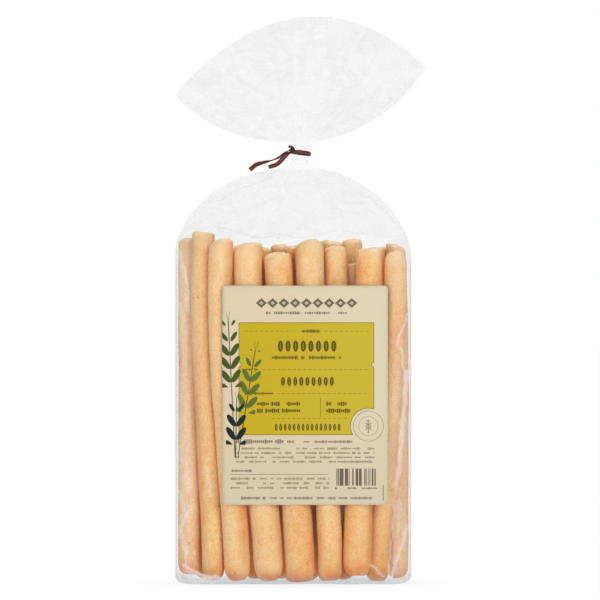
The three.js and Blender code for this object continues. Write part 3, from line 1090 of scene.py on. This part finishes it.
# The ruffle of loose film above the tie, in front view: its root, tips and edges
ROOT_Z = 279.1
ROOT_LEFT, ROOT_RIGHT = Vector((-1.5, ROOT_Z)), Vector((13.7, ROOT_Z))
LEFT_TIP, RIGHT_TIP = Vector((-75.1, 308.7)), Vector((84.3, 326.3))
LEFT_EDGE = (ROOT_LEFT, Vector((-27.2, 279.1)), Vector((-51.2, 284.1)), LEFT_TIP)
RIGHT_EDGE = (ROOT_RIGHT, Vector((37, 282.2)), Vector((66, 297.4)), RIGHT_TIP)
MOUTH = (LEFT_TIP, Vector((-17.8, 376.6)), Vector((42.7, 366.8)), RIGHT_TIP)
RUFFLE_UP = 170
NECK_SHARE = 0.06  # this share of the ruffle's rows lies between the tie and the root


def on_curve(points, t):
    a, b, c, d = points
    s = 1 - t
    return a * s**3 + b * (3 * s * s * t) + c * (3 * s * t * t) + d * t**3


def ruffle_place(up, across):
    """The patch between the root, the two lower edges and the mouth."""
    spot = ROOT_LEFT.lerp(ROOT_RIGHT, across) * (1 - up) + on_curve(MOUTH, across) * up
    spot += on_curve(LEFT_EDGE, up) * (1 - across) + on_curve(RIGHT_EDGE, up) * across
    spot -= (ROOT_LEFT * (1 - across) + ROOT_RIGHT * across) * (1 - up)
    spot -= (LEFT_TIP * (1 - across) + RIGHT_TIP * across) * up
    return spot


def ruffle_point(around, row):
    """A point of the ruffle, by its place round the tube and its row.

    Also says how tinted and how hazy the film is there.
    """
    share, height = around / FILM_AROUND, row / RUFFLE_UP
    angle = TAU * share
    # Evenly spaced over most of the width, and closer where the two sheets fold at the edges
    level = 1 - 4 * abs(share - 0.5)
    across = 0.5 + 0.5 * lerp(-level, cos(angle), 0.45)
    side = 0.0 if share in (0, 0.5) else copysign(1, sin(angle))
    swell = (1 - abs(2 * across - 1) ** 2.5) ** 0.6 * side
    neck_x = NECK_X + NECK_RADIUS * (2 * across - 1)
    up = max(0.0, (height - NECK_SHARE) / (1 - NECK_SHARE)) ** 1.15
    x, z = ruffle_place(up, across)
    y = swell * lerp(NECK_RADIUS, 2.6, ease(up, 0.0, 0.45))
    if height < NECK_SHARE:
        rise = height / NECK_SHARE
        x, z = lerp(neck_x, x, ease(rise, 0.2, 1)), lerp(TIE_HEIGHT - 0.6, ROOT_Z, rise)
    y += 3.2 * up * sin(2.5 * pi * across)

    tight = 1 - ease(up, 0.0, 0.4)
    inner = ease(min(across, 1 - across), 0.0, 0.06)
    spread = ease(up, 0.02, 0.35) * inner
    layer = 40.0 * side
    pleat = pleats(across * pi * side, 2.0)
    warp = 0.5 * noise.noise((across * 5, up * 2.5, layer))
    long_folds = ridge(across * 11 + warp, up * 1.2, layer)
    short_folds = ridge(across * 24 + 3 * warp, up * 3.4 + 2 * warp, layer + 5)
    soft = noise.noise((x / 26 + layer, z / 26, 1.7))
    y += side * (pleat * (0.4 * tight + 0.15) * inner - 0.4 * tight)
    y += spread * (long_folds * 1.3 + short_folds * 0.7 + soft * 1.8)
    column = exp(-(((x - NECK_X - 0.12 * (z - ROOT_Z)) / 7.0) ** 2)) * (1 - ease(z, 290, 330))
    gathered = 1 - ease(up, 0.0, 0.1)
    # Hazier in a column above the tie, with painted highlights on the pleat ridges.
    haze_and_sheen = column * (0.045 + 0.015 * pleat)
    tint = CLEAR_TINT * (1 - 0.2 * column) * (1 - 0.4 * gathered)
    return Vector((x, y, z)), tint, haze_and_sheen


# ---- the label

LABEL_BACK = -22.33
LABEL_THICKNESS = 0.24
LABEL_CORNER = 2.2
LABEL_COLUMNS, LABEL_ROWS = 34, 44


def make_label(material):
    """The paper: a rounded sheet that follows the breadsticks a little."""
    left, right, bottom, top = LABEL_EDGES
    width, height = right - left, top - bottom
    middle = ((right + left) / 2, LABEL_BACK, (top + bottom) / 2)
    bpy.ops.mesh.primitive_plane_add(size=1, location=middle, rotation=(pi / 2, 0, 0))
    label = bpy.context.object
    label.scale = (width, height, 1)
    bpy.ops.object.transform_apply(location=True, rotation=True, scale=True)
    bpy.ops.object.mode_set(mode="EDIT")
    bpy.ops.mesh.select_all(action="SELECT")
    bpy.ops.mesh.bevel(offset=LABEL_CORNER, segments=6, affect="VERTICES")
    for low, size, cells, way in (
        (left, width, LABEL_COLUMNS, Vector((1, 0, 0))),
        (bottom, height, LABEL_ROWS, Vector((0, 0, 1))),
    ):
        for i in range(1, cells):
            bpy.ops.mesh.select_all(action="SELECT")
            bpy.ops.mesh.bisect(plane_co=way * (low + size * i / cells), plane_no=way)
    bpy.ops.object.mode_set(mode="OBJECT")
    for vertex in label.data.vertices:
        x, _, z = vertex.co
        wave = 0.12 * noise.noise((x / 22, 0, z / 40))
        sink = 0.16 * sink_between_sticks(x, z, FRONT_ROW)
        edge = min(x - left, right - x, z - bottom, top - z)
        vertex.co.y += max(-0.1, (wave + sink) * (0.4 + 0.6 * ease(edge, 0, 14)))
    apply_modifier(label, "SOLIDIFY", thickness=LABEL_THICKNESS, offset=1)
    paint_values(label, "printed", [float(v.normal.y < 0) for v in label.data.vertices])
    finish_piece(label, "label_print", material)
    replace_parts(label, "label")


# ---- the tie

STRIP_WIDTH = 2.9
STRIP_SIDES = 14
BAND_RADIUS = 6.45
PINCH_TURN = -2.28  # where round the neck the strip is twisted together


def strip_profile(turn):
    """The strip's section: flat paper-thin wings and a round wire up its middle."""
    across = cos(turn)
    thick = 0.13 + 0.3 * exp(-((across / 0.3) ** 2))
    return across * STRIP_WIDTH / 2, sin(turn) * thick


def nearness_to_wire(turn):
    """1 at the middle of the strip's section, where its wire runs."""
    return exp(-((cos(turn) / 0.45) ** 2))


def lay_strip(points, twists, steps):
    """A length of strip along a smooth path. Each point has a twist, in turns."""
    strip = make_ringed_cylinder(STRIP_SIDES, steps)
    path = [Vector(p) for p in points]
    middle = []
    for vertex in strip.data.vertices:
        turn = atan2(vertex.co.y, vertex.co.x)
        spot, ahead = along_path(path, vertex.co.z)
        twist = TAU * along_values(twists, vertex.co.z)
        outward = Vector((0.15, -1, 0.25))
        outward = (outward - ahead * outward.dot(ahead)).normalized()
        side = ahead.cross(outward)
        wide, thick = strip_profile(turn)
        flat = side * cos(twist) + outward * sin(twist)
        facing = outward * cos(twist) - side * sin(twist)
        vertex.co = spot + flat * wide + facing * thick
        middle.append(nearness_to_wire(turn))
    paint_values(strip, "middle", middle)
    return strip


def along_values(values, share):
    """The number at this share of the way along evenly spaced ones."""
    place = share * (len(values) - 1)
    i = min(int(place), len(values) - 2)
    return lerp(values[i], values[i + 1], ease(place - i, 0, 1))


def along_path(points, share):
    """A point on the smooth path through the points, and the way it runs there."""
    place = share * (len(points) - 1)
    i = min(int(place), len(points) - 2)
    t = place - i
    a = points[max(i - 1, 0)]
    b, c = points[i], points[i + 1]
    d = points[min(i + 2, len(points) - 1)]
    spot = 0.5 * (
        2 * b + (c - a) * t + (2 * a - 5 * b + 4 * c - d) * t**2 + (3 * b - a - 3 * c + d) * t**3
    )
    way = (c - a) + 2 * (2 * a - 5 * b + 4 * c - d) * t + 3 * (3 * b - a - 3 * c + d) * t**2
    return spot, way.normalized()


def make_band():
    """The strip round the neck, pinched to a point where it is twisted together."""
    bpy.ops.mesh.primitive_torus_add(
        major_segments=64, minor_segments=STRIP_SIDES, major_radius=BAND_RADIUS, minor_radius=1
    )
    band = bpy.context.object
    middle = []
    for vertex in band.data.vertices:
        x, y, z = vertex.co
        around = atan2(y, x)
        turn = atan2(z, hypot(x, y) - BAND_RADIUS) + pi / 2
        wide, thick = strip_profile(turn)
        pinch = max(0.0, cos(around - PINCH_TURN)) ** 14
        radius = BAND_RADIUS + 0.25 * sin(3 * around + 1) + 1.2 * pinch
        wide *= 1 - 0.45 * pinch
        dip = -0.14 * cos(around) * radius
        vertex.co = Vector((
            NECK_X + cos(around) * (radius + thick),
            sin(around) * (radius + thick),
            TIE_HEIGHT + dip + wide,
        ))
        middle.append(nearness_to_wire(turn))
    paint_values(band, "middle", middle)
    return band


def make_tie(material):
    """The wire tie: the band, its two tails, and the loop where they twist together."""
    long_tail = [
        (-0.2, -5.9, 273.4), (-2.6, -8, 273.2), (-5.4, -8.8, 271.2), (-9.4, -9.2, 268.6),
        (-13.4, -9.5, 266.9), (-18.6, -9.6, 265.6), (-23.6, -9.5, 264), (-27.4, -9.2, 260.8),
    ]
    short_tail = [
        (-0.4, -6.2, 272.6), (-2.9, -8.5, 271.6), (-5.2, -9.6, 269.6), (-7.6, -10.4, 266.8),
        (-10.6, -10.8, 264.2), (-15.6, -10.9, 262.6),
    ]
    loop = [
        (0.8, -6.4, 272.2), (-0.6, -8.3, 273.6), (-1.8, -7.6, 275.6), (-0.9, -6.2, 276),
        (-0.3, -6.9, 273.8), (-2.4, -8.9, 272.4),
    ]
    pieces = [
        make_band(),
        lay_strip(long_tail, [0.5, 0.3, 0.15, 0.2, 0.24, 0.16, 0.05, 0.02], 56),
        lay_strip(short_tail, [-0.3, -0.1, 0.02, 0.04, 0.02, -0.03], 44),
        lay_strip(loop, [0.1, 0.25, 0.5, 0.7, 0.9, 1.1], 48),
    ]
    for piece in pieces:
        piece.select_set(True)
    bpy.context.view_layer.objects.active = pieces[0]
    bpy.ops.object.join()
    tie = bpy.context.object
    apply_modifier(tie, "SUBSURF", levels=1, render_levels=1)
    finish_piece(tie, "wire_tie", material)
    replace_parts(tie, "tie")


# ---- the floor


def make_floor():
    """A white floor with a painted shadow: a little greyer where the bag stands."""
    bpy.ops.mesh.primitive_plane_add(size=24, location=(0, 0, 0))
    floor = bpy.context.object
    floor.name = "floor"
    pale = Finish("pale_floor")
    # Painted shadow: the glow is dimmer close to where the bag stands.
    away = pale.vector("LENGTH", pale.place((0.52, 1, 1)), output="Value")
    pale.surface(
        Base_Color=shade(14, 14, 14),
        Roughness=0.7,
        Specular_IOR_Level=0.0,
        Emission_Color=pale.colour(pale.climb(away, 26, 60), (0.915, 0.915, 0.915, 1), (1, 1, 1, 1)),
        Emission_Strength=1.0,
    )
    floor.data.materials.append(pale.material)
    floor.select_set(False)


# ---- everything

set_camera()
set_lights()
set_world()
SCENE.view_settings.view_transform = "Standard"
SCENE.cycles.transparent_max_bounces = 32
make_floor()
make_sticks(make_crust())
film_finish = make_film()
make_film_sheet("bag_film", film_finish, len(RINGS) - 1, bag_point)
make_film_sheet("bag_ruffle", film_finish, RUFFLE_UP, ruffle_point)
make_label(make_label_print())
make_tie(make_tie_strip())
